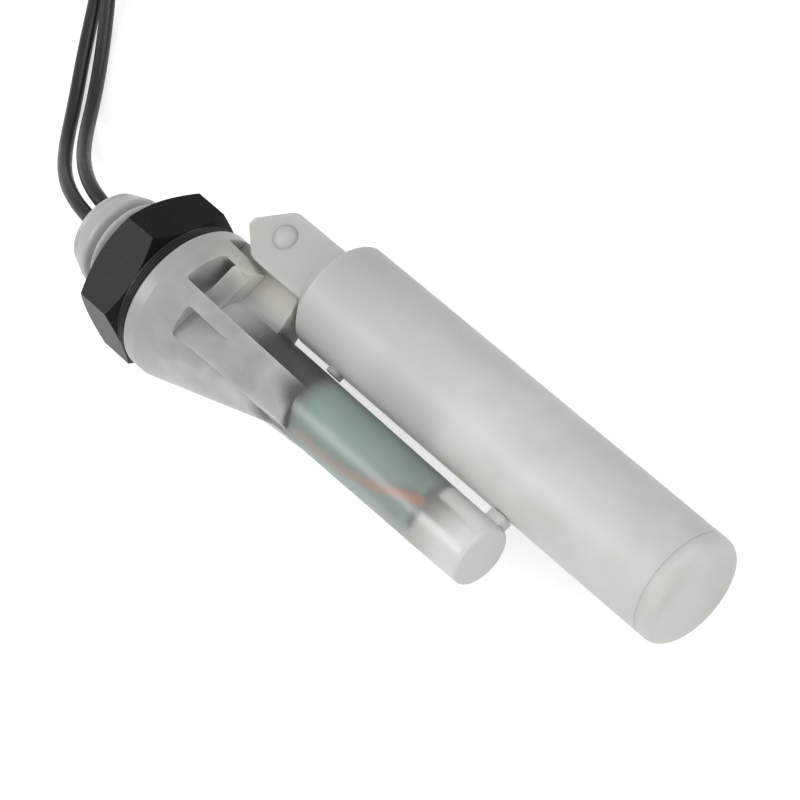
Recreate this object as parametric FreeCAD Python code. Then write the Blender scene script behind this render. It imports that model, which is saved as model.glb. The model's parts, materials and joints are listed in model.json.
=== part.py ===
import FreeCAD, Part
import math
import os

# Side-mounted float level switch, in millimetres.
# +X runs along the stem from its thread to its closed tip, +Y from the stem to the float,
# +Z along the hinge pin. The origin is on the thread's axis, at the collar's sealing face.

Vec = FreeCAD.Vector

# ---------------------------------------------------------------- stem
THREAD_D = 16.0
THREAD_PITCH = 2.0
PITCH_LINE = 0.325  # a metric thread's pitch line lies this share of its pitch below the crest
THREAD_END_X = -19.8  # free end of the thread's plain pilot
PILOT_D = 13.6
PILOT_LENGTH = 1.1
THREAD_LEAD_IN = 2.6  # the thread fades in over this length, behind its rounded first edge
THREAD_START_H = 0.45  # height of that edge above the pilot
COLLAR_D = 25.0
COLLAR_T = 2.5
COLLAR_CHAMFER = 0.35
CONE_END_X = 26.0
TUBE_ROOT_D = 10.96
TUBE_TIP_D = 10.06
TUBE_END_X = 66.7
TUBE_EDGE_R = 0.7
BORE_D = 8.0
TIP_WALL = 3.0
BORE_END_FILLET = 1.5
MOUTH_D = 10.0
MOUTH_DEPTH = 6.0

# ---------------------------------------------------------------- core-outs of the cone, on both sides
RIB_T = 2.7
POCKET_R = 0.6  # the pockets' upright corners
SPINE_EDGE = 6.1  # the spine's flank on the side away from the float, at its pocket
SPINE_END_EDGE = 5.0  # the same at its end on the tube
SPINE_TOP = 8.45
SPINE_END_X = 29.5
SPINE_END_R = 1.0
SPINE_POCKET_X = 8.0
ROOT_POCKET_X = 4.9
BRIDGE_X = 7.2
BRIDGE_T = 2.0  # at its foot; its front slopes down to the tube
BRIDGE_TOP = 8.2
ROOT_POCKET_EDGE = 8.0

# ---------------------------------------------------------------- hinge
PIN_X = 8.7
PIN_Y = 16.2
PIN_D = 3.0
PIN_HEAD_D = 4.1
PIN_HEAD_H = 0.9
PIN_CLEARANCE = 0.05  # radial, in the lug
LUG_T = 5.8
LUG_BOSS_R = 3.6
LUG_FRONT_X = 16.1
LUG_SHOULDER_Y = 10.7
LUG_FOOT_X = 17.7
LUG_ROOT_X = 3.2
LUG_ROOT_Y = 12.3
LUG_STEP_H = 2.0  # the step on the lug's front edge, above the tube
LUG_STEP = 0.6
LUG_EDGE_R = 0.5
EAR_GAP = 0.3  # between each ear and the lug
EAR_T = 2.6
EAR_HEIGHT = 9.7
EAR_TAIL = 6.35  # from the pin to the ear's end
EAR_NOSE = 1.35  # flat at the ear's end
EAR_NOSE_DROP = 1.33  # its middle lies this far below the pin
EAR_FALL_SLOPE = 1.24  # run over fall of the ear's lower edge
EAR_CORNER_R = 2.4
TAIL_STOP_DROP = 5.95  # the land that the ear's tail meets, below the pin

# ---------------------------------------------------------------- float
FLOAT_D = 18.0
FLOAT_Y = 15.5
FLOAT_REAR_X = 17.4
FLOAT_REAR_D = 13.6
FLOAT_SEAM_X = 92.0
CAP_LENGTH = 3.0  # of the end cap, outside the seam
FLOAT_WALL = 1.2
FLOAT_EDGE_R = 2.0
CAP_WALL = 1.8
SPIGOT_LENGTH = 3.0
SPIGOT_T = 1.15
SPIGOT_CLEARANCE = 0.05
SEAM_CHAMFER = 0.08
NUB_X = 28.0
NUB_D = 2.8
NUB_H = 0.75
STOP_SETBACK = 3.7  # from the tube's tip back to the near end of its stop block
STOP_LENGTH = 2.7
STOP_WIDTH = 3.0
STOP_ROOT = 0.6  # the block's root lies this far inside the tube's wall
STOP_GAP = 0.05

# ---------------------------------------------------------------- magnet and its pocket
MAGNET_D = 5.0
MAGNET_LENGTH = 14.0
MAGNET_X = 36.0
MAGNET_PLUG_T = 2.0
POCKET_WALL = 0.8
POCKET_SINK = 0.1  # the pocket's wall is melted this far into the float's

# ---------------------------------------------------------------- nut and sealing washer
WASHER_D = 24.0
WASHER_T = 1.8
WASHER_GROOVES = 3
WASHER_GROOVE_W = 0.3
WASHER_GROOVE_DEPTH = 0.25
WASHER_CLEARANCE = 0.05
THREAD_CLEARANCE = 0.05
NUT_FLATS = 24.0
NUT_T = 8.0
NUT_CHAMFER = 30.0  # degrees
NUT_PHASE = 20.5  # degrees from +Z towards -Y to the middle of a flat
NUT_MOUTH = 0.3  # the countersink reaches this far outside the thread
HEX_STEP = 60.0  # degrees from one flat to the next

# ---------------------------------------------------------------- switch and wiring inside the tube
FILL_X = -18.8  # face of the potting in the thread's mouth
CLEAR_X = 30.5  # the dark potting ends and the clear potting starts
REED_Y = 0.6
REED_Z = -0.6
REED_GLASS_D = 2.3
REED_GLASS_LENGTH = 14.0
REED_GLASS_WALL = 0.3
REED_SEAL = 1.5
REED_SEAL_LAP = 0.3  # a blade's root is formed this far into its round lead
REED_LEAD_D = 0.6
LEAD_BEND = 1.5  # a switch lead bends this far inside its sleeve
BLADE_W = 0.9
BLADE_T = 0.2
BLADE_GAP = 0.1
BLADE_OVERLAP = 1.5
SLEEVE_D = 5.8
SLEEVE_WALL = 0.4
SLEEVE_LENGTH = 24.0
RETURN_D = 1.3
RETURN_CORE_D = 0.5
RETURN_CLEARANCE = 0.35  # between the return wire and the sleeve
JOINT_D = 2.4
JOINT_LENGTH = 6.0
JOINT_X = -1.5
JOINT_LAP = 2.0  # how far a wire reaches into a joint
TIP_JOINT_Z = 1.8
TIP_JOINT_D = 2.4
TIP_JOINT_LENGTH = 6.2
TIP_JOINT_GAP = 1.5  # from the tip joint to the bore's end
TIP_LAP = 4.0  # the wires' lap in the tip joint
STRIP_GAP = 0.2  # bare wire between a cover and its joint
WIRE_SPACING = 0.8

# ---------------------------------------------------------------- leads
LEAD_D = 2.4
LEAD_CORE_D = 0.9
LEAD_LENGTH = 370.0
LEAD_1_Y = -0.7
LEAD_2_Y = 2.1
LEAD_STRIP = 6.0
STRIPPED_D = 1.0
COIL_ENTRY = (-74.0, 42.6)  # where the first lead meets its outer turn
COIL_HEADING = 129.0  # degrees, the way the lead runs there
COIL_PITCH = 2.45
COIL_WHOLE_TURNS = 3  # beyond the part turn that brings the lead's end to +X
COIL_CURL_R = 4.8  # the bend into the coil's middle
COIL_OFFSET = 0.8  # the second coil lies this far to one side of the first
TIE_T = 0.8
TIE_W = 3.6
TIE_SLACK = 0.1

# ---------------------------------------------------------------- sizes that follow from those above
THREAD_R = THREAD_D / 2
PITCH_R = THREAD_R - PITCH_LINE * THREAD_PITCH
COLLAR_R = COLLAR_D / 2
FLOAT_END_X = FLOAT_SEAM_X + CAP_LENGTH
BORE_R = BORE_D / 2
FLOAT_R = FLOAT_D / 2
REED_X = MAGNET_X + (MAGNET_LENGTH - REED_GLASS_LENGTH) / 2
BORE_END_X = TUBE_END_X - TIP_WALL
STOP_X = TUBE_END_X - STOP_SETBACK
TIP_JOINT_X = BORE_END_X - TIP_JOINT_GAP - TIP_JOINT_LENGTH
LUG_HALF = LUG_T / 2
RIB_HALF = RIB_T / 2
EAR_IN = LUG_HALF + EAR_GAP
EAR_OUT = EAR_IN + EAR_T
NUT_CORNER_R = NUT_FLATS / math.sqrt(3)
NUT_FRONT_X = -WASHER_T
NUT_BACK_X = NUT_FRONT_X - NUT_T
LOWEST_CORNER = NUT_PHASE % HEX_STEP - HEX_STEP / 2  # the nut's lowest corner, degrees off straight down
FLOOR_Z = -NUT_CORNER_R * math.cos(math.radians(LOWEST_CORNER))
COIL_Z = FLOOR_Z + TIE_T
EVERYTHING = 200.0  # longer than the whole object, for cutting tools


def box(x0, x1, y0, y1, z0, z1):
    return Part.makeBox(x1 - x0, y1 - y0, z1 - z0, Vec(x0, y0, z0))


def rod_x(x0, x1, radius, y=0.0, z=0.0):
    return Part.makeCylinder(radius, x1 - x0, Vec(x0, y, z), Vec(1, 0, 0))


def rod_z(z0, z1, radius, x, y):
    return Part.makeCylinder(radius, z1 - z0, Vec(x, y, z0), Vec(0, 0, 1))


def rounded_outline(corners):
    """A closed wire in the XY plane. Each corner is (x, y) or (x, y, fillet radius)."""
    edges, starts, ends = [], [], []
    count = len(corners)
    for i in range(count):
        here = Vec(corners[i][0], corners[i][1], 0)
        before = Vec(corners[i - 1][0], corners[i - 1][1], 0)
        after = Vec(corners[(i + 1) % count][0], corners[(i + 1) % count][1], 0)
        radius = corners[i][2] if len(corners[i]) > 2 else 0.0
        if radius == 0.0:
            starts.append(here)
            ends.append(here)
            continue
        back = (before - here).normalize()
        ahead = (after - here).normalize()
        half = back.getAngle(ahead) / 2
        reach = radius / math.tan(half)
        middle = here + (back + ahead).normalize() * (radius / math.sin(half) - radius)
        starts.append(here + back * reach)
        ends.append(here + ahead * reach)
        edges.append(Part.Arc(starts[-1], middle, ends[-1]).toShape())
    for i in range(count):
        if ends[i - 1].distanceToPoint(starts[i]) > 1e-6:
            edges.append(Part.makeLine(ends[i - 1], starts[i]))
    return Part.Wire(Part.__sortEdges__(edges))


def turned(corners, axis_y=0.0):
    """A solid of revolution about the X direction. Corners are (x, radius[, fillet])."""
    solid = Part.Face(rounded_outline(corners)).revolve(Vec(0, 0, 0), Vec(1, 0, 0), 360)
    solid.translate(Vec(0, axis_y, 0))
    return solid


def plate(corners, z0, z1):
    """A flat plate with its outline in XY, from z0 to z1."""
    face = Part.Face(rounded_outline(corners))
    face.translate(Vec(0, 0, z0))
    return face.extrude(Vec(0, 0, z1 - z0))


def both_sides(shape):
    """The shape and its mirror image in the plane z = 0."""
    return shape.fuse(shape.mirror(Vec(0, 0, 0), Vec(0, 0, 1)))


def tangent_point(point, centre, radius, side):
    """Where a line from the point touches the circle. side is 1 for its left, -1 for its right."""
    way = Vec(centre[0] - point[0], centre[1] - point[1], 0)
    length = math.sqrt(way.Length**2 - radius**2)
    angle = math.atan2(way.y, way.x) + side * math.asin(radius / way.Length)
    return point[0] + length * math.cos(angle), point[1] + length * math.sin(angle)


def rounded_path(points):
    """Straight runs joined by tangent arcs, each as large as its two runs allow."""
    points = [Vec(*p) for p in points]
    edges, last, radii = [], points[0], []
    for before, here, after in zip(points, points[1:], points[2:]):
        back, ahead = before - here, after - here
        reach = 0.45 * min(back.Length, ahead.Length)
        half = back.getAngle(ahead) / 2
        radius = reach * math.tan(half)
        back.normalize()
        ahead.normalize()
        start, end = here + back * reach, here + ahead * reach
        middle = here + (back + ahead).normalize() * (radius / math.sin(half) - radius)
        edges.append(Part.LineSegment(last, start).toShape())
        edges.append(Part.Arc(start, middle, end).toShape())
        radii.append(radius)
        last = end
    edges.append(Part.LineSegment(last, points[-1]).toShape())
    return Part.Wire(edges), radii


def wire_along(points, diameter):
    """A round wire along the rounded path."""
    path, radii = rounded_path(points)
    way = Vec(*points[1]) - Vec(*points[0])
    ring = Part.Wire(Part.makeCircle(diameter / 2, Vec(*points[0]), way))
    return path.makePipeShell([ring], True, False), path.Length, radii


def tube_radius(x):
    """The tapered tube's outer radius. The same taper runs on inside the cone."""
    taper = (TUBE_ROOT_D - TUBE_TIP_D) / 2 / (TUBE_END_X - CONE_END_X)
    return TUBE_ROOT_D / 2 + taper * (CONE_END_X - x)


def crest_x():
    """Where the cone has come down to the spine's top."""
    return COLLAR_T + (COLLAR_R - SPINE_TOP) * (CONE_END_X - COLLAR_T) / (COLLAR_R - TUBE_ROOT_D / 2)


# ---------------------------------------------------------------- stem
def tube_solid(x0, x1):
    return turned([(x0, 0), (x0, tube_radius(x0)), (x1, tube_radius(x1)), (x1, 0)])


def stem_outside():
    """The turned outside. The thread is its crest's cylinder, and inside the nut its pitch cylinder."""
    pilot_x = THREAD_END_X + PILOT_LENGTH
    return turned(
        [
            (THREAD_END_X, 0),
            (THREAD_END_X, PILOT_D / 2, 0.5),
            (pilot_x, PILOT_D / 2),
            (pilot_x + THREAD_START_H, PILOT_D / 2 + THREAD_START_H, 0.5),
            (pilot_x + THREAD_LEAD_IN, THREAD_R),
            (NUT_BACK_X, THREAD_R),
            (NUT_BACK_X, PITCH_R),
            (NUT_FRONT_X, PITCH_R),
            (NUT_FRONT_X, THREAD_R),
            (0, THREAD_R),
            (0, COLLAR_R - COLLAR_CHAMFER),
            (COLLAR_CHAMFER, COLLAR_R),
            (COLLAR_T, COLLAR_R, 0.6),
            (CONE_END_X, tube_radius(CONE_END_X)),
            (TUBE_END_X, tube_radius(TUBE_END_X), TUBE_EDGE_R),
            (TUBE_END_X, 0),
        ]
    )


def stem_bore():
    return turned(
        [
            (THREAD_END_X - 1, 0),
            (THREAD_END_X - 1, MOUTH_D / 2),
            (THREAD_END_X + MOUTH_DEPTH, MOUTH_D / 2),
            (THREAD_END_X + MOUTH_DEPTH, BORE_R),
            (BORE_END_X, BORE_R, BORE_END_FILLET),
            (BORE_END_X, 0),
        ]
    )


def lug():
    """The flat lug that carries the hinge pin."""
    pin = (PIN_X, PIN_Y)
    root = (LUG_ROOT_X, LUG_ROOT_Y)
    shoulder = (LUG_FRONT_X, LUG_SHOULDER_Y)
    foot_y = tube_radius(LUG_FOOT_X)
    step_y = foot_y + LUG_STEP_H
    left = tangent_point(root, pin, LUG_BOSS_R, 1)
    right = tangent_point(shoulder, pin, LUG_BOSS_R, -1)
    outline = [
        (COLLAR_T / 2, BORE_R),
        (COLLAR_T / 2, LUG_ROOT_Y - LUG_EDGE_R),
        root,
        left,
        pin,
        right,
        shoulder + (LUG_EDGE_R,),
        (LUG_FOOT_X - LUG_STEP, step_y + LUG_STEP),
        (LUG_FOOT_X - LUG_STEP, step_y),
        (LUG_FOOT_X, foot_y - LUG_EDGE_R),
        (LUG_FOOT_X, BORE_R),
    ]
    body = plate(outline, -LUG_HALF, LUG_HALF)
    return body.fuse(rod_z(-LUG_HALF, LUG_HALF, LUG_BOSS_R, PIN_X, PIN_Y))


def spine():
    """The thick wall over the bore, flush with the rib's crest towards the tube."""
    end = tube_radius(SPINE_END_X)
    half = [
        (SPINE_POCKET_X, SPINE_TOP),
        (crest_x(), SPINE_TOP),
        (SPINE_END_X, end, SPINE_END_R),
        (SPINE_END_X + SPINE_END_R, 0),
    ]
    other = [(c[0], -c[1]) + c[2:] for c in reversed(half[:-1])]
    prism = plate(half + other, -RIB_HALF, SPINE_EDGE)
    prism.rotate(Vec(0, 0, 0), Vec(1, 0, 0), 90)
    plan = [
        (SPINE_POCKET_X, RIB_HALF),
        (SPINE_END_X + SPINE_END_R, RIB_HALF),
        (SPINE_END_X + SPINE_END_R, -SPINE_END_EDGE, SPINE_END_R),
        (SPINE_POCKET_X, -SPINE_EDGE),
    ]
    return prism.common(plate(plan, -SPINE_TOP, SPINE_TOP))


def core_outs():
    """The pockets that thin the cone and let the ears swing, on the side of +Z."""
    far = EVERYTHING
    slab = box(0, far, 0, far, -LUG_HALF, LUG_HALF)
    tube = tube_solid(0, TUBE_END_X)
    bridge_end = BRIDGE_X + BRIDGE_T
    root_outline = [
        (ROOT_POCKET_X, RIB_HALF, POCKET_R),
        (ROOT_POCKET_X, ROOT_POCKET_EDGE, POCKET_R),
        (BRIDGE_X, ROOT_POCKET_EDGE),
        (BRIDGE_X, RIB_HALF),
    ]
    root_pocket = plate(root_outline, 0, far).cut(slab).cut(tube)
    slope = [
        (BRIDGE_X, BRIDGE_TOP),
        (bridge_end, tube_radius(bridge_end)),
        (bridge_end, far),
        (BRIDGE_X, far),
    ]
    bridge_slope = plate(slope, -ROOT_POCKET_EDGE, -RIB_HALF)
    bridge_slope.rotate(Vec(0, 0, 0), Vec(1, 0, 0), 90)
    front = box(bridge_end, far, RIB_HALF, far, 0, far).cut(lug()).cut(tube)
    land = box(COLLAR_T, far, PIN_Y - TAIL_STOP_DROP, far, LUG_HALF, far)
    spine_outline = [
        (SPINE_POCKET_X, -SPINE_EDGE, POCKET_R),
        (SPINE_POCKET_X, -RIB_HALF, POCKET_R),
        (crest_x(), -RIB_HALF),
        (crest_x(), -SPINE_EDGE),
    ]
    spine_pocket = plate(spine_outline, SPINE_TOP, far)
    return [root_pocket, bridge_slope, front, land, spine_pocket]


def stop_block():
    """The block near the tube's tip that the closed float rests on."""
    root = tube_radius(STOP_X) - STOP_ROOT
    top = FLOAT_Y - FLOAT_R - STOP_GAP
    half = STOP_WIDTH / 2
    return box(STOP_X, STOP_X + STOP_LENGTH, root, top, -half, half)


def stem_body():
    body = stem_outside()
    for tool in core_outs():
        body = body.cut(both_sides(tool))
    body = body.fuse([spine(), lug(), stop_block()])
    body = body.cut(stem_bore())
    body = body.cut(rod_z(-LUG_HALF - 1, LUG_HALF + 1, PIN_D / 2 + PIN_CLEARANCE, PIN_X, PIN_Y))
    return body.removeSplitter()


# ---------------------------------------------------------------- nut and washer
def hex_nut():
    flats = NUT_FLATS / 2
    corners = []
    for k in range(6):
        angle = math.radians(NUT_PHASE + HEX_STEP * (k + 0.5))
        corners.append(Vec(NUT_BACK_X, -NUT_CORNER_R * math.sin(angle), NUT_CORNER_R * math.cos(angle)))
    prism = Part.Face(Part.makePolygon(corners + corners[:1])).extrude(Vec(NUT_T, 0, 0))
    slope = (NUT_CORNER_R - flats) * math.tan(math.radians(NUT_CHAMFER))
    over = NUT_CORNER_R + 1
    rise = slope * (over - flats) / (NUT_CORNER_R - flats)
    blank = turned(
        [
            (NUT_BACK_X, 0),
            (NUT_BACK_X, flats),
            (NUT_BACK_X + rise, over),
            (NUT_FRONT_X - rise, over),
            (NUT_FRONT_X, flats),
            (NUT_FRONT_X, 0),
        ]
    )
    bore_r = PITCH_R + THREAD_CLEARANCE
    hole = turned(
        [
            (NUT_BACK_X - 1, 0),
            (NUT_BACK_X - 1, THREAD_R + NUT_MOUTH),
            (NUT_BACK_X, THREAD_R + NUT_MOUTH),
            (NUT_BACK_X + THREAD_R + NUT_MOUTH - bore_r, bore_r),
            (NUT_FRONT_X + 1, bore_r),
            (NUT_FRONT_X + 1, 0),
        ]
    )
    return prism.common(blank).cut(hole)


def sealing_washer():
    """A rubber ring with fine grooves round its edge."""
    inner, outer = THREAD_R + WASHER_CLEARANCE, WASHER_D / 2
    corners = [(-WASHER_T, inner), (-WASHER_T, outer)]
    step = WASHER_T / (WASHER_GROOVES + 1)
    for k in range(WASHER_GROOVES):
        middle = -WASHER_T + (k + 1) * step
        corners.append((middle - WASHER_GROOVE_W / 2, outer))
        corners.append((middle, outer - WASHER_GROOVE_DEPTH))
        corners.append((middle + WASHER_GROOVE_W / 2, outer))
    corners += [(0, outer), (0, inner)]
    return turned(corners)


# ---------------------------------------------------------------- float
def float_cavity():
    inner = FLOAT_R - FLOAT_WALL
    shoulder = FLOAT_R - FLOAT_REAR_D / 2
    rear = FLOAT_REAR_X + FLOAT_WALL
    return turned(
        [
            (rear, 0),
            (rear, FLOAT_REAR_D / 2 - 0.5 * FLOAT_WALL),
            (rear + shoulder - 0.5 * FLOAT_WALL, inner),
            (FLOAT_SEAM_X + 1, inner),
            (FLOAT_SEAM_X + 1, 0),
        ],
        FLOAT_Y,
    )


def ear_outline():
    top, bottom = FLOAT_Y + EAR_HEIGHT / 2, FLOAT_Y - EAR_HEIGHT / 2
    tail = PIN_X - EAR_TAIL
    nose = PIN_Y - EAR_NOSE_DROP
    rise = top - (nose + EAR_NOSE / 2)
    fall = (nose - EAR_NOSE / 2) - bottom
    root = FLOAT_REAR_X + FLOAT_WALL / 2
    return [
        (root, bottom),
        (root, top),
        (tail + rise, top, EAR_CORNER_R),
        (tail, nose + EAR_NOSE / 2, 0.45 * EAR_NOSE),
        (tail, nose - EAR_NOSE / 2, 0.45 * EAR_NOSE),
        (tail + EAR_FALL_SLOPE * fall, bottom, EAR_CORNER_R),
    ]


def magnet_axis_y():
    return FLOAT_Y - FLOAT_R + FLOAT_WALL + MAGNET_D / 2 + POCKET_WALL - POCKET_SINK


def float_shell():
    shoulder = FLOAT_R - FLOAT_REAR_D / 2
    shell = turned(
        [
            (FLOAT_REAR_X, 0),
            (FLOAT_REAR_X, FLOAT_REAR_D / 2),
            (FLOAT_REAR_X + shoulder, FLOAT_R),
            (FLOAT_SEAM_X - SEAM_CHAMFER, FLOAT_R),
            (FLOAT_SEAM_X, FLOAT_R - SEAM_CHAMFER),
            (FLOAT_SEAM_X, 0),
        ],
        FLOAT_Y,
    )
    ears = both_sides(plate(ear_outline(), EAR_IN, EAR_OUT))
    nub_base = FLOAT_Y - FLOAT_R
    nub = Part.makeCylinder(NUB_D / 2, NUB_H + FLOAT_WALL / 2, Vec(NUB_X, nub_base - NUB_H, 0), Vec(0, 1, 0))
    axis_y = magnet_axis_y()
    pocket_x = MAGNET_X + MAGNET_LENGTH + MAGNET_PLUG_T
    pocket = rod_x(MAGNET_X - POCKET_WALL, pocket_x, MAGNET_D / 2 + POCKET_WALL, axis_y)
    shell = shell.fuse([ears, nub]).cut(float_cavity()).fuse(pocket)
    shell = shell.cut(rod_x(MAGNET_X, pocket_x + 1, MAGNET_D / 2, axis_y))
    return shell.cut(rod_z(-EAR_OUT - 1, EAR_OUT + 1, PIN_D / 2, PIN_X, PIN_Y)).removeSplitter()


def float_end_cap():
    spigot = FLOAT_R - FLOAT_WALL - SPIGOT_CLEARANCE
    return turned(
        [
            (FLOAT_END_X - CAP_WALL, 0),
            (FLOAT_END_X - CAP_WALL, spigot - SPIGOT_T),
            (FLOAT_SEAM_X - SPIGOT_LENGTH, spigot - SPIGOT_T),
            (FLOAT_SEAM_X - SPIGOT_LENGTH, spigot),
            (FLOAT_SEAM_X, spigot),
            (FLOAT_SEAM_X, FLOAT_R - SEAM_CHAMFER),
            (FLOAT_SEAM_X + SEAM_CHAMFER, FLOAT_R),
            (FLOAT_END_X, FLOAT_R, FLOAT_EDGE_R),
            (FLOAT_END_X, 0),
        ],
        FLOAT_Y,
    )


def float_magnet():
    return rod_x(MAGNET_X, MAGNET_X + MAGNET_LENGTH, MAGNET_D / 2, magnet_axis_y())


def magnet_plug():
    start = MAGNET_X + MAGNET_LENGTH
    return rod_x(start, start + MAGNET_PLUG_T, MAGNET_D / 2, magnet_axis_y())


def hinge_pin():
    """A moulded pin with a low dome on each end."""
    base, height = PIN_HEAD_D / 2, PIN_HEAD_H
    radius = (base**2 + height**2) / (2 * height)
    ball = Part.makeSphere(radius, Vec(PIN_X, PIN_Y, EAR_OUT + height - radius))
    far = EVERYTHING
    dome = ball.common(box(-far, far, -far, far, EAR_OUT, far))
    return rod_z(-EAR_OUT, EAR_OUT, PIN_D / 2, PIN_X, PIN_Y).fuse(both_sides(dome)).removeSplitter()


# ---------------------------------------------------------------- switch and wiring inside the tube
def reed_envelope():
    """The outer shape of the switch's sealed glass."""
    half = REED_GLASS_D / 2
    end = REED_X + REED_GLASS_LENGTH
    envelope = turned([(REED_X, 0), (REED_X, half, 0.5), (end, half, 0.5), (end, 0)])
    envelope.translate(Vec(0, REED_Y, REED_Z))
    return envelope


def reed_glass():
    inner = REED_GLASS_D / 2 - REED_GLASS_WALL
    end = REED_X + REED_GLASS_LENGTH - REED_SEAL
    glass = reed_envelope().cut(rod_x(REED_X + REED_SEAL, end, inner, REED_Y, REED_Z))
    return glass.cut(reed_blade_near()).cut(reed_blade_far())


def blade(x0, x1, side):
    """A flat blade, on one side of the contact gap."""
    y = REED_Y + side * (BLADE_GAP + BLADE_T) / 2
    return box(x0, x1, y - BLADE_T / 2, y + BLADE_T / 2, REED_Z - BLADE_W / 2, REED_Z + BLADE_W / 2)


def reed_blade_near():
    contact = REED_X + REED_GLASS_LENGTH / 2 + BLADE_OVERLAP / 2
    seal = REED_X + REED_SEAL
    rod = rod_x(JOINT_X + JOINT_LENGTH - JOINT_LAP, seal + REED_SEAL_LAP, REED_LEAD_D / 2, REED_Y, REED_Z)
    return rod.fuse(blade(seal, contact, -1))


def reed_blade_far():
    contact = REED_X + REED_GLASS_LENGTH / 2 - BLADE_OVERLAP / 2
    seal = REED_X + REED_GLASS_LENGTH - REED_SEAL
    low = TIP_JOINT_Z - WIRE_SPACING / 2
    route = [
        (seal - REED_SEAL_LAP, REED_Y, REED_Z),
        (CLEAR_X + SLEEVE_LENGTH - LEAD_BEND, REED_Y, REED_Z),
        (TIP_JOINT_X + LEAD_BEND / 2, REED_Y, low),
        (TIP_JOINT_X + TIP_LAP, REED_Y, low),
    ]
    rod = wire_along(route, REED_LEAD_D)[0]
    return rod.fuse(blade(contact, seal, 1))


def reed_sleeve():
    end = CLEAR_X + SLEEVE_LENGTH
    outside = rod_x(CLEAR_X, end, SLEEVE_D / 2, REED_Y, REED_Z)
    return outside.cut(rod_x(CLEAR_X, end, SLEEVE_D / 2 - SLEEVE_WALL, REED_Y, REED_Z))


def beside_sleeve(x, turn):
    """A place on the sleeve's outside for the return wire. turn is in degrees from +Y towards +Z."""
    reach = SLEEVE_D / 2 + RETURN_D / 2 + RETURN_CLEARANCE
    angle = math.radians(turn)
    return x, REED_Y + reach * math.cos(angle), REED_Z + reach * math.sin(angle)


def return_route():
    """The wire from the switch's far end climbs over the sleeve's end and lies beside the sleeve."""
    start, end = CLEAR_X, CLEAR_X + SLEEVE_LENGTH
    high = TIP_JOINT_Z + WIRE_SPACING / 2
    return [
        (JOINT_X + JOINT_LENGTH - JOINT_LAP, LEAD_1_Y - WIRE_SPACING, 0.0),
        ((JOINT_X + JOINT_LENGTH + start) / 2, LEAD_1_Y - 2 * WIRE_SPACING, 0.0),
        beside_sleeve(start, 161),
        beside_sleeve(end - 0.55 * SLEEVE_LENGTH, 159),
        beside_sleeve(end - 0.26 * SLEEVE_LENGTH, 132),
        beside_sleeve(end - 0.04 * SLEEVE_LENGTH, 104),
        (TIP_JOINT_X + TIP_LAP / 4, REED_Y, high),
        (TIP_JOINT_X + TIP_LAP, REED_Y, high),
    ]


def return_core():
    return wire_along(return_route(), RETURN_CORE_D)[0]


def return_cover():
    """The coloured insulation, stripped at both joints."""
    whole = wire_along(return_route(), RETURN_D)[0]
    window = box(JOINT_X + JOINT_LENGTH, TIP_JOINT_X - STRIP_GAP, -BORE_R, BORE_R, -BORE_R, BORE_R)
    return whole.common(window).cut(return_core())


def lead_core(y):
    return rod_x(FILL_X, JOINT_X + JOINT_LAP, LEAD_CORE_D / 2, y)


def lead_tail(y):
    """The insulated stretch of a lead inside the potting."""
    return rod_x(FILL_X, JOINT_X, LEAD_D / 2, y).cut(lead_core(y))


def solder_joint_1():
    """Joins the first lead to the return wire."""
    body = rod_x(JOINT_X, JOINT_X + JOINT_LENGTH, JOINT_D / 2, LEAD_1_Y - WIRE_SPACING / 2)
    return body.cut(lead_core(LEAD_1_Y)).cut(return_core())


def solder_joint_2():
    """Joins the second lead to the switch's near end."""
    y, z = (LEAD_2_Y + REED_Y) / 2, REED_Z / 2
    body = rod_x(JOINT_X, JOINT_X + JOINT_LENGTH, JOINT_D / 2, y, z)
    return body.cut(lead_core(LEAD_2_Y)).cut(reed_blade_near())


def joint_sleeve():
    """The sleeve over the joint at the tip."""
    body = rod_x(TIP_JOINT_X, TIP_JOINT_X + TIP_JOINT_LENGTH, TIP_JOINT_D / 2, REED_Y, TIP_JOINT_Z)
    return body.cut(return_core()).cut(reed_blade_far())


def potting(x0, x1, contents):
    fill = stem_bore().common(box(x0, x1, -EVERYTHING, EVERYTHING, -EVERYTHING, EVERYTHING))
    for piece in contents:
        fill = fill.cut(piece)
    return fill.removeSplitter()


# ---------------------------------------------------------------- leads
def lead_route(lead):
    """The stretch from the potting to the coil. The points are chosen by hand."""
    run = FLOOR_Z + LEAD_D / 2
    if lead == 1:
        return [
            (FILL_X, LEAD_1_Y, 0.0),
            (-25.2, -0.5, -0.4),
            (-32.2, 0.8, -2.7),
            (-38.7, 3.2, -6.3),
            (-45.2, 7.3, -10.2),
            (-51.0, 13.0, run),
            (-57.0, 20.4, run),
            (-63.0, 28.4, run),
            (-68.4, 35.8, run + 0.4),
            COIL_ENTRY + (COIL_Z + LEAD_D / 2,),
        ]
    return [
        (FILL_X, LEAD_2_Y, 0.0),
        (-25.0, 2.6, -0.4),
        (-31.0, 4.0, -2.4),
        (-36.9, 6.4, -5.6),
        (-42.6, 10.0, -9.2),
        (-48.2, 15.2, -12.0),
        (-54.0, 22.0, run),
        (-60.6, 30.2, run + 1.4),
        (-67.0, 37.6, COIL_Z + LEAD_D * 1.5),
        (COIL_ENTRY[0] + 0.5, COIL_ENTRY[1] + 0.4, COIL_Z + LEAD_D * 1.5),
    ]


def coil_turns():
    """From the entry round to the side of +X, where the lead leaves the inner turn."""
    return (COIL_HEADING + 90) / 360 + COIL_WHOLE_TURNS


def coil_inner_r(lead):
    """The radius of the inner turn, from the length that the coil takes up."""
    route = rounded_path(lead_route(lead))[0].Length
    wound = LEAD_LENGTH - route - math.pi / 2 * COIL_CURL_R - LEAD_STRIP
    return (wound / (math.pi * coil_turns()) - coil_turns() * COIL_PITCH) / 2


def coil_outer_r(lead):
    return coil_inner_r(lead) + coil_turns() * COIL_PITCH


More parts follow.
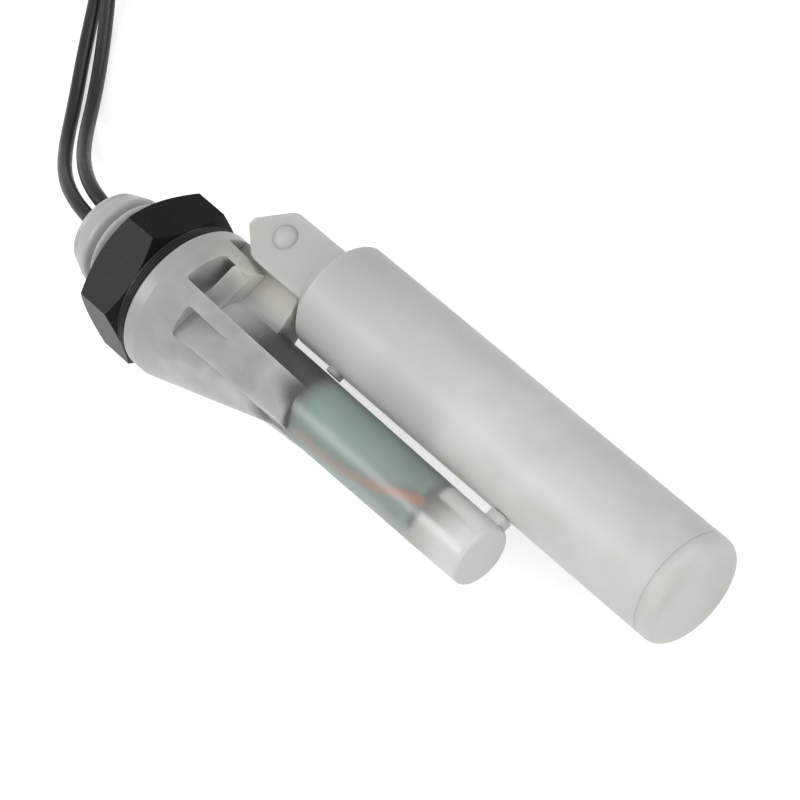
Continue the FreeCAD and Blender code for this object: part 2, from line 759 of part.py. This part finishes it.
def coil_centre(lead):
    """The middle of a coil, to the right of the first lead where it arrives."""
    heading = math.radians(COIL_HEADING)
    reach = coil_outer_r(1) + (lead - 1) * COIL_OFFSET
    return Vec(COIL_ENTRY[0] + reach * math.sin(heading), COIL_ENTRY[1] - reach * math.cos(heading), 0)


def lead_coil(lead):
    """The outer shape of a lead's flat coil. The second lies on the first."""
    base = coil_centre(lead) + Vec(0, 0, COIL_Z + (lead - 1) * LEAD_D)
    outer = Part.makeCylinder(coil_outer_r(lead) + LEAD_D / 2, LEAD_D, base)
    return outer.cut(Part.makeCylinder(coil_inner_r(lead) - LEAD_D / 2, LEAD_D, base))


def stripped_end(lead):
    """The lead's tinned strands, in the middle of its coil."""
    height = COIL_Z + (lead - 0.5) * LEAD_D
    start = coil_centre(lead) + Vec(coil_inner_r(lead) - COIL_CURL_R, -COIL_CURL_R, height)
    return Part.makeCylinder(STRIPPED_D / 2, LEAD_STRIP, start, Vec(-1, 0, 0))


def coil_tie():
    """A flat tie round both coils."""
    lower, upper = coil_centre(1), coil_centre(2)
    middle = (lower.y + upper.y) / 2
    y0, y1 = middle - TIE_W / 2, middle + TIE_W / 2
    off = y1 - lower.y
    hole = lower.x + math.sqrt((coil_inner_r(1) - LEAD_D / 2) ** 2 - off**2)
    rim = max(lower.x + coil_outer_r(1), upper.x + coil_outer_r(2)) + LEAD_D / 2
    x0, x1, top = hole - TIE_SLACK - TIE_T, rim + TIE_SLACK + TIE_T, COIL_Z + 2 * LEAD_D
    band = box(x0, x1, y0, y1, FLOOR_Z, top + TIE_T)
    return band.cut(box(x0 + TIE_T, x1 - TIE_T, y0 - 1, y1 + 1, COIL_Z, top))


def lead_wire(lead):
    solid, length, radii = wire_along(lead_route(lead), LEAD_D)
    section = math.pi * LEAD_D**2 / 4
    ratio = solid.Volume / (section * length)
    print("lead", lead, "length", round(length, 1), "volume ratio", round(ratio, 4))
    print("  radii", [round(r, 1) for r in radii])
    return solid.cut(box(FILL_X, FILL_X + LEAD_D, -BORE_R, BORE_R, -BORE_R, BORE_R))


def build():
    cores = [lead_core(LEAD_1_Y), lead_core(LEAD_2_Y)]
    tails = [lead_tail(LEAD_1_Y), lead_tail(LEAD_2_Y)]
    joints = [solder_joint_1(), solder_joint_2()]
    near, far, glass = reed_blade_near(), reed_blade_far(), reed_glass()
    core, cover = return_core(), return_cover()
    sleeve, tip_joint = reed_sleeve(), joint_sleeve()
    parts = {
        "stem_body": stem_body(),
        "hex_nut": hex_nut(),
        "sealing_washer": sealing_washer(),
        "float_shell": float_shell(),
        "float_end_cap": float_end_cap(),
        "float_magnet": float_magnet(),
        "magnet_plug": magnet_plug(),
        "hinge_pin": hinge_pin(),
        "stem_potting": potting(FILL_X, CLEAR_X, cores + tails + joints + [near, core, cover]),
        "tip_potting": potting(
            CLEAR_X, TUBE_END_X, [near, far, reed_envelope(), core, cover, sleeve, tip_joint]
        ),
        "reed_glass": glass,
        "reed_blade_near": near,
        "reed_blade_far": far,
        "reed_sleeve": sleeve,
        "return_wire_core": core,
        "return_wire_cover": cover,
        "tip_joint_sleeve": tip_joint,
        "solder_joint_1": joints[0],
        "solder_joint_2": joints[1],
        "coil_tie": coil_tie(),
    }
    for lead in (1, 2):
        parts["lead_%d_core" % lead] = cores[lead - 1]
        parts["lead_%d_tail" % lead] = tails[lead - 1]
        parts["lead_%d_wire" % lead] = lead_wire(lead)
        parts["lead_%d_coil" % lead] = lead_coil(lead)
        parts["lead_%d_stripped_end" % lead] = stripped_end(lead)
    return parts


def main():
    os.makedirs("parts", exist_ok=True)
    for name, shape in build().items():
        print(name, "solids", len(shape.Solids), "valid", shape.isValid(), "volume", round(shape.Volume, 1))
        shape.exportStep("parts/" + name + ".step")


main()
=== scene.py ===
"""A side-mounted float level switch: its finish, its thread and its two flying leads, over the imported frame.

+X runs along the stem from its thread to its closed tip, +Y from the stem to the float and +Z up, along the
hinge pin. Sizes are in millimetres, and become metres with MM, unless a comment gives another unit.
"""

import json
import math

import bmesh
import bpy
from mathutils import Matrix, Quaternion, Vector

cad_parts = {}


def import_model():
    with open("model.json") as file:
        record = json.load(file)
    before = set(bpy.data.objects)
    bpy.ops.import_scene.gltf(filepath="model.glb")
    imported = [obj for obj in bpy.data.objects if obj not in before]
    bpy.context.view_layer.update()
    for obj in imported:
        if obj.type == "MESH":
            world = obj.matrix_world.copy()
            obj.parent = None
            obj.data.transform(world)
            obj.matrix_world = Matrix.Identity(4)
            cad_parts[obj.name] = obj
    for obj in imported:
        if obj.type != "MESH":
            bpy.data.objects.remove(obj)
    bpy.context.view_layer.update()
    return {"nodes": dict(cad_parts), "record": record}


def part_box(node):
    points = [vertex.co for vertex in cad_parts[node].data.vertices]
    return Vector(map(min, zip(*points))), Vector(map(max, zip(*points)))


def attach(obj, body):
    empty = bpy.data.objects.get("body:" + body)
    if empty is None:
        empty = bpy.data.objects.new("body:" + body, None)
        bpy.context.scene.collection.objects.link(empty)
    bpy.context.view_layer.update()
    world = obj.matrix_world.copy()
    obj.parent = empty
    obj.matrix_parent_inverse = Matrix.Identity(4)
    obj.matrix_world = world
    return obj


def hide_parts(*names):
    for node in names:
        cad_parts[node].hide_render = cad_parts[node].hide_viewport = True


MM = 0.001
FLUSH = 0.03 * MM  # metres, the slack between faces that count as flush
WELD = 1e-6  # metres, the slack of a cut through the mesh

# ---------------------------------------------------------------- camera
CAMERA_PLACE = (282.1, -36.2, 418.4)
CAMERA_AIM = (39.1, 9.5, 0.0)
CAMERA_ROLL = -37.04  # degrees about the line of sight
CAMERA_LENS = 149.7
SENSOR_WIDTH = 36.0
VIEW_DEPTH = 10.0  # metres

# ---------------------------------------------------------------- studio
FLOOR_SIZE = 4.0  # metres
FLOOR_GREY = (0.6, 0.6, 0.6)
FLOOR_GLOW = 0.62
SKY_WHITE = (1.0, 1.0, 1.0, 1.0)
SKY_STRENGTH = 0.55
LAMPS = (  # name, place and side in metres, watts
    ("overhead", (0.1, 0.0, 1.0), 0.7, 1.0),
    ("side", (-0.55, -0.5, 0.75), 0.45, 5.0),
    ("back", (0.4, 0.8, 0.8), 0.6, 3.2),
    ("tip_side", (0.85, -0.4, 0.3), 0.5, 3.2),
)

# ---------------------------------------------------------------- where the milky plastic changes its look
# Each pair is where a change starts and where it ends.
THREAD_DARKENS = (-12.0, -8.0)  # along the stem, from here
COLLAR_LIGHTENS = (0.0, 9.0)
CONE_CLEARS = (10.0, 20.0)
CONE_TO_TUBE = (28.5, 31.5)
TUBE_PALES = (40.0, 54.0)
TUBE_SMOOTHS = (42.0, 54.0)
TUBE_CLEARS = (44.0, 54.0)
TIP_CLOUDS = (56.0, 63.0)
TIP_WHITENS = (58.0, 65.0)
WALL_THICKENS = (5.6, 7.0)  # away from the stem's axis
SPINE_SHADE_RISES = (4.5, 8.0)  # above the stem's axis, where the upper side of the cone and spine is painted darker as shade
LUG_STARTS = (4.5, 9.0)  # from the stem towards the float
FLOAT_WHITENS = (18.0, 55.0)  # along the float
MAGNET_SHADE_BLUR = 3.0  # the painted shade over the magnet's place fades over this length, on both sides of its edge

# ---------------------------------------------------------------- leads, as the CAD lays them
LEAD_D = 2.4
LEAD_1_EXIT = (-18.8, -0.7, 0.0)
LEAD_2_EXIT = (-18.8, 2.1, 0.0)
COIL_PITCH = 2.45
COIL_HEADING = 129.0  # degrees, the way the leads run into their coils
COIL_WHOLE_TURNS = 3
COIL_CURL_R = 4.8
CURL_ANGLES = (-20, -45, -70)  # degrees round the curl, between its two ends
CURL_WIDEN = 1.02  # the curve runs inside its points, so they lie this much farther out
POINTS_PER_TURN = 16
CURVE_ORDER = 3
STEPS_PER_POINT = 8
BEVEL_STEPS = 7  # Blender's bevel resolution

# ---------------------------------------------------------------- thread
THREAD_PITCH = 2.0
THREAD_DEPTH = 1.1
THREAD_FADE = 1.0  # the first groove deepens over this length
THREAD_PHASE = 0.2  # where the ridge starts, in turns
RING_POINTS = 144
RINGS_PER_PITCH = 20
SHARP_ANGLE = 35.0  # degrees, from which an edge of the moulding isn't smoothed


# ---------------------------------------------------------------- nodes of a material
class Look:
    """A material with one Principled shader, and short ways to feed it."""

    def __init__(self, name, colour, roughness, **sockets):
        self.material = bpy.data.materials.new(name)
        self.material.use_nodes = True
        self.tree = self.material.node_tree
        self.shader = self.tree.nodes["Principled BSDF"]
        self.set("Base Color", (*colour, 1.0))
        self.set("Roughness", roughness)
        for key, value in sockets.items():
            self.set(key.replace("_", " "), value)

    def feed(self, socket, value):
        """Link a node's output to a socket, or give the socket a plain value."""
        if isinstance(value, bpy.types.NodeSocket):
            self.tree.links.new(value, socket)
        else:
            socket.default_value = value

    def set(self, name, value):
        self.feed(self.shader.inputs[name], value)

    def show(self, shader_output):
        """Let another shader's output stand in for the Principled one."""
        self.feed(self.tree.nodes["Material Output"].inputs["Surface"], shader_output)

    def node(self, kind, inputs=(), **settings):
        node = self.tree.nodes.new(kind)
        for key, value in settings.items():
            setattr(node, key, value)
        for key, value in dict(inputs).items():
            self.feed(node.inputs[key], value)
        return node

    def place(self):
        """The surface's place in the frame, in metres."""
        return self.node("ShaderNodeTexCoord").outputs["Object"]

    def along(self, axis):
        """The surface's place along one axis, in millimetres."""
        place = self.node("ShaderNodeSeparateXYZ", {"Vector": self.place()})
        return self.maths("DIVIDE", place.outputs[axis], MM)

    def reach(self):
        """How far the surface lies from the stem's axis, in millimetres."""
        flat = self.node("ShaderNodeVectorMath", {0: self.place(), 1: (0.0, 1.0, 1.0)}, operation="MULTIPLY")
        length = self.node("ShaderNodeVectorMath", {0: flat.outputs["Vector"]}, operation="LENGTH")
        return self.maths("DIVIDE", length.outputs["Value"], MM)

    def noise(self, size, detail=3.0):
        """Noise from 0 to 1 with features of about this size."""
        inputs = {"Vector": self.place(), "Scale": 1 / (size * MM), "Detail": detail}
        return self.node("ShaderNodeTexNoise", inputs).outputs["Fac"]

    def cloud(self, size, detail=3.0, low=0.0, high=1.0):
        """The middle of such noise, spread out from low to high."""
        return self.ramp(self.noise(size, detail), 0.3, 0.7, low, high)

    def ramp(self, value, low, high, out_low=0.0, out_high=1.0):
        """Smoothly from out_low to out_high as the value goes from low to high."""
        inputs = {"Value": value, "From Min": low, "From Max": high, "To Min": out_low, "To Max": out_high}
        return self.node("ShaderNodeMapRange", inputs, interpolation_type="SMOOTHSTEP").outputs["Result"]

    def maths(self, operation, a, b):
        return self.node("ShaderNodeMath", {0: a, 1: b}, operation=operation).outputs[0]

    def mix(self, factor, a, b):
        """From colour a to colour b as the factor goes from 0 to 1."""
        node = self.node("ShaderNodeMix", {"Factor": factor}, data_type="RGBA")
        for name, value in (("A", a), ("B", b)):
            socket = next(s for s in node.inputs if s.name == name and s.type == "RGBA")
            self.feed(socket, (*value, 1.0) if isinstance(value, tuple) else value)
        return next(s for s in node.outputs if s.type == "RGBA")

    def bump(self, height, depth, strength):
        inputs = {"Height": height, "Distance": depth * MM, "Strength": strength}
        self.set("Normal", self.node("ShaderNodeBump", inputs).outputs["Normal"])


# ---------------------------------------------------------------- materials
def milky(name, colour, roughness):
    """What the stem's plastic and the float's have in common."""
    look = Look(name, colour, roughness, IOR=1.49, Specular_IOR_Level=0.35)
    look.set("Subsurface Radius", (3.0, 3.0, 2.8))
    look.set("Subsurface Scale", MM)
    look.bump(look.noise(0.35, 2.0), 0.01, 0.25)
    return look


def natural_pp():
    """Natural polypropylene: milky where it is thick, and clearer where it is thin over the bore."""
    look = milky("natural_pp", (0.54, 0.545, 0.52), 0.4)
    along, aside, rise = look.along("X"), look.along("Y"), look.along("Z")
    thin = look.ramp(look.reach(), *WALL_THICKENS, 1.0, 0.0)

    clear = look.ramp(along, *CONE_CLEARS, 0.25, 0.92)
    for stretch, change in ((CONE_TO_TUBE, -0.28), (TUBE_CLEARS, 0.12), (TIP_CLOUDS, -0.5)):
        clear = look.maths("ADD", clear, look.ramp(along, *stretch, 0.0, change))
    clear = look.maths("MULTIPLY", clear, thin)
    look.set("Transmission Weight", look.maths("MAXIMUM", clear, 0.06))
    look.set("Roughness", look.ramp(along, *TUBE_SMOOTHS, 0.34, 0.3))
    look.set("Subsurface Weight", look.ramp(thin, 0.0, 1.0, 0.6, 0.0))

    cloud = look.cloud(4.0)
    thick = look.mix(cloud, (0.41, 0.415, 0.395), (0.5, 0.505, 0.485))
    # Painted shade: above the axis, the upper side of the cone and spine is painted darker than its sides.
    shaded_spine = look.mix(cloud, (0.32, 0.325, 0.305), (0.39, 0.395, 0.375))
    thick = look.mix(look.ramp(rise, *SPINE_SHADE_RISES), thick, shaded_spine)
    thick = look.mix(look.ramp(aside, *LUG_STARTS), thick, (0.58, 0.58, 0.525))
    thick = look.mix(look.ramp(along, *COLLAR_LIGHTENS), (0.37, 0.37, 0.35), thick)
    thick = look.mix(look.ramp(along, *THREAD_DARKENS), (0.43, 0.435, 0.425), thick)

    tube = look.mix(look.ramp(along, *TUBE_PALES), (0.49, 0.585, 0.555), (0.6, 0.61, 0.57))
    tube = look.mix(look.ramp(along, *CONE_TO_TUBE), (0.6, 0.61, 0.59), tube)
    tube = look.mix(look.ramp(along, *TIP_WHITENS), tube, (0.71, 0.71, 0.685))
    look.set("Base Color", look.mix(thin, thick, tube))
    return look.material


def float_pp():
    """The float's frosted skin, with painted shade over the magnet's place, darkest on its side towards the
    stem.
    """
    look = milky("float_pp", (0.62, 0.62, 0.59), 0.45)
    look.set("Subsurface Weight", 0.4)
    along, aside = look.along("X"), look.along("Y")
    skin = look.mix(look.cloud(9.0, 2.0), (0.51, 0.512, 0.486), (0.56, 0.562, 0.536))
    skin = look.mix(look.ramp(along, *FLOAT_WHITENS), (0.445, 0.447, 0.425), skin)

    # Painted shade: a darker patch laid over the magnet's box, fading out away from the stem.
    low, high = (Vector(corner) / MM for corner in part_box("float_magnet"))
    start = look.ramp(along, low.x - MAGNET_SHADE_BLUR, low.x + MAGNET_SHADE_BLUR)
    end = look.ramp(along, high.x - MAGNET_SHADE_BLUR, high.x + MAGNET_SHADE_BLUR, 1.0, 0.0)
    depth = look.ramp(aside, low.y, high.y + MAGNET_SHADE_BLUR, 1.0, 0.0)
    painted_shade = look.maths("MULTIPLY", look.maths("MULTIPLY", start, end), depth)
    look.set("Base Color", look.mix(look.maths("MULTIPLY", painted_shade, 0.7), skin, (0.4, 0.4, 0.385)))
    return look.material


def matched_face():
    """The bore's wall, where the plastic meets the potting and light passes straight on."""
    look = Look("matched_face", (1.0, 1.0, 1.0), 0.0)
    look.show(look.node("ShaderNodeBsdfTransparent").outputs["BSDF"])
    return look.material


def black_nylon():
    """The nut's black plastic, with a few light specks of dust."""
    black = (0.003, 0.003, 0.0034)
    look = Look("black_nylon", black, 0.32, Specular_IOR_Level=0.1)
    dust = look.ramp(look.noise(0.5, 1.0), 0.71, 0.77)
    look.set("Base Color", look.mix(dust, black, (0.05, 0.05, 0.05)))
    look.bump(look.noise(0.3, 2.0), 0.01, 0.12)
    return look.material


def black_rubber():
    look = Look("black_rubber", (0.012, 0.012, 0.012), 0.6)
    look.set("Roughness", look.cloud(0.8, low=0.5, high=0.7))
    look.bump(look.noise(0.2), 0.02, 0.4)
    return look.material


def lead_pvc():
    look = Look("black_pvc", (0.011, 0.011, 0.012), 0.38)
    look.set("Roughness", look.cloud(2.0, low=0.33, high=0.45))
    look.bump(look.noise(0.4, 2.0), 0.01, 0.3)
    return look.material


def dark_epoxy():
    look = Look("dark_epoxy", (0.02, 0.022, 0.02), 0.25)
    cloud = look.ramp(look.noise(4.0), 0.35, 0.7)
    look.set("Base Color", look.mix(cloud, (0.015, 0.017, 0.015), (0.035, 0.04, 0.036)))
    look.bump(look.noise(1.2), 0.05, 0.3)
    return look.material


def teal_sleeve():
    look = Look("teal_pvc", (0.24, 0.44, 0.39), 0.4)
    look.set("Base Color", look.mix(look.cloud(3.0, 2.0), (0.2, 0.42, 0.37), (0.32, 0.54, 0.49)))
    look.bump(look.noise(0.5), 0.02, 0.3)
    return look.material


def plain_pvc(name, colour):
    look = Look(name, colour, 0.4)
    dark, light = (tuple(share * c for c in colour) for share in (0.8, 1.15))
    look.set("Base Color", look.mix(look.cloud(1.0), dark, light))
    look.bump(look.noise(0.3), 0.01, 0.3)
    return look.material


def tinned_copper():
    look = Look("tinned_copper", (0.62, 0.6, 0.56), 0.3, Metallic=1.0)
    look.set("Roughness", look.cloud(0.4, low=0.22, high=0.4))
    look.bump(look.noise(0.15), 0.02, 0.5)
    return look.material


def nickel_iron():
    look = Look("nickel_iron", (0.55, 0.53, 0.5), 0.3, Metallic=1.0)
    look.set("Roughness", look.cloud(0.6, low=0.2, high=0.4))
    return look.material


def reed_glass():
    return Look("reed_glass", (0.85, 0.95, 0.9), 0.05, IOR=1.5, Transmission_Weight=0.9).material


def ferrite():
    look = Look("ferrite", (0.03, 0.03, 0.032), 0.7)
    look.bump(look.noise(0.2), 0.02, 0.5)
    return look.material


# ---------------------------------------------------------------- objects
def add_object(name, data):
    thing = bpy.data.objects.new(name, data)
    bpy.context.collection.objects.link(thing)
    return thing


def paint(piece, *materials):
    piece.data.materials.clear()
    for material in materials:
        piece.data.materials.append(material)


def extent(face):
    """A face's least and greatest distance from the stem's axis, and where it starts and ends along it."""
    reach = [math.hypot(v.co.y, v.co.z) for v in face.verts]
    along = [v.co.x for v in face.verts]
    return min(reach), max(reach), min(along), max(along)


# ---------------------------------------------------------------- the stem with its thread
def thread_radius(x, turn, crest, start):
    """The thread's surface, rounded at crest and root. turn is the angle in turns."""
    wave = 0.5 + 0.5 * math.cos(2 * math.pi * (x / (THREAD_PITCH * MM) - turn + THREAD_PHASE))
    fade = min(1.0, (x - start) / (THREAD_FADE * MM))
    return crest - fade * (1 - math.sqrt(wave)) * THREAD_DEPTH * MM


def add_thread(bm, start, end, crest):
    """Helical ridges about the X axis, between two plain circles of the crest's radius."""
    rings = int((end - start) / (THREAD_PITCH * MM) * RINGS_PER_PITCH)
    last = None
    for i in range(rings + 1):
        x = start + (end - start) * i / rings
        ring = []
        for k in range(RING_POINTS):
            turn = k / RING_POINTS
            angle = 2 * math.pi * turn
            radius = crest if i in (0, rings) else thread_radius(x, turn, crest, start)
            ring.append(bm.verts.new((x, radius * math.cos(angle), radius * math.sin(angle))))
        if last:
            for k in range(RING_POINTS):
                j = (k + 1) % RING_POINTS
                bm.faces.new((last[k], last[j], ring[j], ring[k])).smooth = True
        last = ring


def stem(frame, skin, matched):
    """The moulding with real ridges in place of the CAD's plain thread behind the nut."""
    mount = next(m for m in frame["record"]["mounts"] if m["name"] == "thread")
    crest = mount["dims"]["r_mm"] * MM
    start = mount["pos_m"][0] - mount["dims"]["length_mm"] / 2 * MM
    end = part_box("hex_nut")[0][0]
    (mouth, _, _), (_, bore, _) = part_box("stem_potting")
    bore_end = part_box("tip_potting")[1][0]

    piece = add_object("stem_moulding", frame["nodes"]["stem_body"].data.copy())
    paint(piece, skin, matched)
    bm = bmesh.new()
    bm.from_mesh(piece.data)
    geometry = bm.verts[:] + bm.edges[:] + bm.faces[:]
    bmesh.ops.bisect_plane(bm, geom=geometry, dist=WELD, plane_co=(mouth, 0, 0), plane_no=(1, 0, 0))
    plain = []
    for face in bm.faces:
        inner, outer, low, high = extent(face)
        on_crest = inner > crest - FLUSH and outer < crest + FLUSH
        if on_crest and low > start - FLUSH and high < end + FLUSH and high - low > FLUSH:
            plain.append(face)
        elif outer < bore + FLUSH and low > mouth - FLUSH and high < bore_end + FLUSH:
            face.material_index = 1
    bmesh.ops.delete(bm, geom=plain, context="FACES")
    add_thread(bm, start, end, crest)
    bm.to_mesh(piece.data)
    bm.free()

    piece.data.set_sharp_from_angle(angle=math.radians(SHARP_ANGLE))
    weights = piece.modifiers.new("flat_faces", "WEIGHTED_NORMAL")
    weights.keep_sharp = True
    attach(piece, "stem")
    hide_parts("stem_body")


def clear_potting(frame, matched):
    """The tube's potting without its inner walls, which lie on the parts cast into it and would hide them."""
    (front, _, _), (_, bore, _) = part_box("tip_potting")
    last_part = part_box("tip_joint_sleeve")[1][0]
    piece = add_object("clear_potting", frame["nodes"]["tip_potting"].data.copy())
    bm = bmesh.new()
    bm.from_mesh(piece.data)
    walls = []
    for face in bm.faces:
        _, outer, low, high = extent(face)
        if outer < bore - FLUSH and high > front + FLUSH and low < last_part + FLUSH:
            walls.append(face)
    bmesh.ops.delete(bm, geom=walls, context="FACES")
    bm.to_mesh(piece.data)
    bm.free()
    paint(piece, matched)
    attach(piece, "stem")
    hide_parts("tip_potting")


# ---------------------------------------------------------------- leads
def lead_route(lead, run, coil):
    """The stretch from the potting to the coil, with the CAD's own points."""
    if lead == 1:
        return [
            LEAD_1_EXIT,
            (-25.2, -0.5, -0.4),
            (-32.2, 0.8, -2.7),
            (-38.7, 3.2, -6.3),
            (-45.2, 7.3, -10.2),
            (-51.0, 13.0, run),
            (-57.0, 20.4, run),
            (-63.0, 28.4, run),
            (-68.4, 35.8, run + 0.4),
            (-74.0, 42.6, coil),
        ]
    return [
        LEAD_2_EXIT,
        (-25.0, 2.6, -0.4),
        (-31.0, 4.0, -2.4),
        (-36.9, 6.4, -5.6),
        (-42.6, 10.0, -9.2),
        (-48.2, 15.2, -12.0),
        (-54.0, 22.0, run),
        (-60.6, 30.2, run + 1.4),
        (-67.0, 37.6, coil),
        (-73.5, 43.0, coil),
    ]


def coil_points(low, high):
    """The turns of a flat coil in this box, wound inwards, and the curl into its middle."""
    centre = (Vector(low) + Vector(high)) / 2 / MM
    outer = (high[0] - low[0]) / 2 / MM - LEAD_D / 2
    turns = (COIL_HEADING + 90) / 360 + COIL_WHOLE_TURNS
    count = int(turns * POINTS_PER_TURN)
    widen = 1 / math.cos(math.pi / POINTS_PER_TURN)
    points = []
    for i in range(1, count + 1):
        share = i / count
        angle = math.radians(COIL_HEADING + 90 - 360 * turns * share)
        radius = (outer - turns * COIL_PITCH * share) * widen
        points.append((centre.x + radius * math.cos(angle), centre.y + radius * math.sin(angle), centre.z))
    middle = centre.x + outer - turns * COIL_PITCH - COIL_CURL_R
    radius = COIL_CURL_R * CURL_WIDEN
    for angle in map(math.radians, CURL_ANGLES):
        points.append((middle + radius * math.cos(angle), centre.y + radius * math.sin(angle), centre.z))
    points.append((middle, centre.y - COIL_CURL_R, centre.z))
    return points


def lead_cord(lead, material):
    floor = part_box("coil_tie")[0][2] / MM
    low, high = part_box("lead_%d_coil" % lead)
    level = (low[2] + high[2]) / 2 / MM
    route = lead_route(lead, floor + LEAD_D / 2, level)
    points = route + coil_points(low, high)
    curve = bpy.data.curves.new("lead_%d" % lead, "CURVE")
    curve.dimensions = "3D"
    spline = curve.splines.new("NURBS")
    spline.points.add(len(points) - 1)
    for target, point in zip(spline.points, points):
        target.co = (*(c * MM for c in point), 1.0)
    spline.order_u = CURVE_ORDER
    spline.use_endpoint_u = True
    spline.resolution_u = STEPS_PER_POINT
    curve.bevel_depth = LEAD_D / 2 * MM
    curve.bevel_resolution = BEVEL_STEPS
    curve.use_fill_caps = True
    piece = add_object("lead_%d" % lead, curve)
    paint(piece, material)
    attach(piece, "stem")
    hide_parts("lead_%d_wire" % lead, "lead_%d_coil" % lead)


# ---------------------------------------------------------------- studio
def floor_white():
    """Pale and matt under the lamps, and white to the camera and in what gloss and clear plastic show."""
    look = Look("floor_white", FLOOR_GREY, 1.0)
    matt = look.node("ShaderNodeBsdfDiffuse", {"Color": (*FLOOR_GREY, 1.0)})
    rays = look.node("ShaderNodeLightPath").outputs
    seen = look.maths("MAXIMUM", rays["Is Camera Ray"], rays["Is Glossy Ray"])
    seen = look.maths("MAXIMUM", seen, rays["Is Transmission Ray"])
    glow = look.node("ShaderNodeEmission", {"Strength": look.maths("MULTIPLY", seen, FLOOR_GLOW)})
    both = look.node("ShaderNodeAddShader", {0: matt.outputs["BSDF"], 1: glow.outputs["Emission"]})
    look.show(both.outputs["Shader"])
    return look.material


def studio(floor_z):
    bpy.ops.mesh.primitive_plane_add(size=FLOOR_SIZE, location=(0, 0, floor_z))
    floor = bpy.context.object
    floor.name = "floor"
    paint(floor, floor_white())
    world = bpy.data.worlds.new("studio")
    bpy.context.scene.world = world
    world.use_nodes = True
    sky = world.node_tree.nodes["Background"]
    sky.inputs["Color"].default_value = SKY_WHITE
    sky.inputs["Strength"].default_value = SKY_STRENGTH


def softbox(name, place, side, power):
    """A square area lamp that faces what the camera aims at."""
    light = bpy.data.lights.new(name, "AREA")
    light.shape = "SQUARE"
    light.size = side
    light.energy = power
    lamp = add_object(name, light)
    lamp.location = place
    aim = Vector(c * MM for c in CAMERA_AIM) - Vector(place)
    lamp.rotation_euler = aim.to_track_quat("-Z", "Y").to_euler()


def camera():
    data = bpy.data.cameras.new("camera")
    data.lens = CAMERA_LENS
    data.sensor_width = SENSOR_WIDTH
    data.clip_end = VIEW_DEPTH
    eye = add_object("camera", data)
    place = Vector(c * MM for c in CAMERA_PLACE)
    look = (Vector(c * MM for c in CAMERA_AIM) - place).to_track_quat("-Z", "Y")
    eye.location = place
    eye.rotation_mode = "QUATERNION"
    eye.rotation_quaternion = look @ Quaternion((0, 0, 1), math.radians(CAMERA_ROLL))
    bpy.context.scene.camera = eye


# ---------------------------------------------------------------- the whole scene
def paint_nodes(nodes, lead_black):
    """The CAD pieces that show as they are."""
    wires = ("return_wire_core", "lead_1_core", "lead_2_core", "lead_1_stripped_end", "lead_2_stripped_end")
    finishes = (
        (float_pp(), ("float_shell", "float_end_cap", "magnet_plug", "hinge_pin")),
        (black_nylon(), ("hex_nut", "coil_tie")),
        (black_rubber(), ("sealing_washer",)),
        (ferrite(), ("float_magnet",)),
        (dark_epoxy(), ("stem_potting",)),
        (tinned_copper(), ("solder_joint_1", "solder_joint_2", *wires)),
        (lead_black, ("lead_1_tail", "lead_2_tail")),
        (nickel_iron(), ("reed_blade_near", "reed_blade_far")),
        (reed_glass(), ("reed_glass",)),
        (teal_sleeve(), ("reed_sleeve",)),
        (plain_pvc("orange_pvc", (0.8, 0.2, 0.06)), ("return_wire_cover",)),
        (plain_pvc("brown_pvc", (0.1, 0.055, 0.015)), ("tip_joint_sleeve",)),
    )
    for material, names in finishes:
        for name in names:
            paint(nodes[name], material)


def main():
    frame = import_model()
    camera()
    studio(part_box("coil_tie")[0][2])
    for lamp in LAMPS:
        softbox(*lamp)
    bpy.context.scene.view_settings.view_transform = "Standard"

    lead_black, matched = lead_pvc(), matched_face()
    lead_cord(1, lead_black)
    lead_cord(2, lead_black)
    stem(frame, natural_pp(), matched)
    clear_potting(frame, matched)
    paint_nodes(frame["nodes"], lead_black)


main()
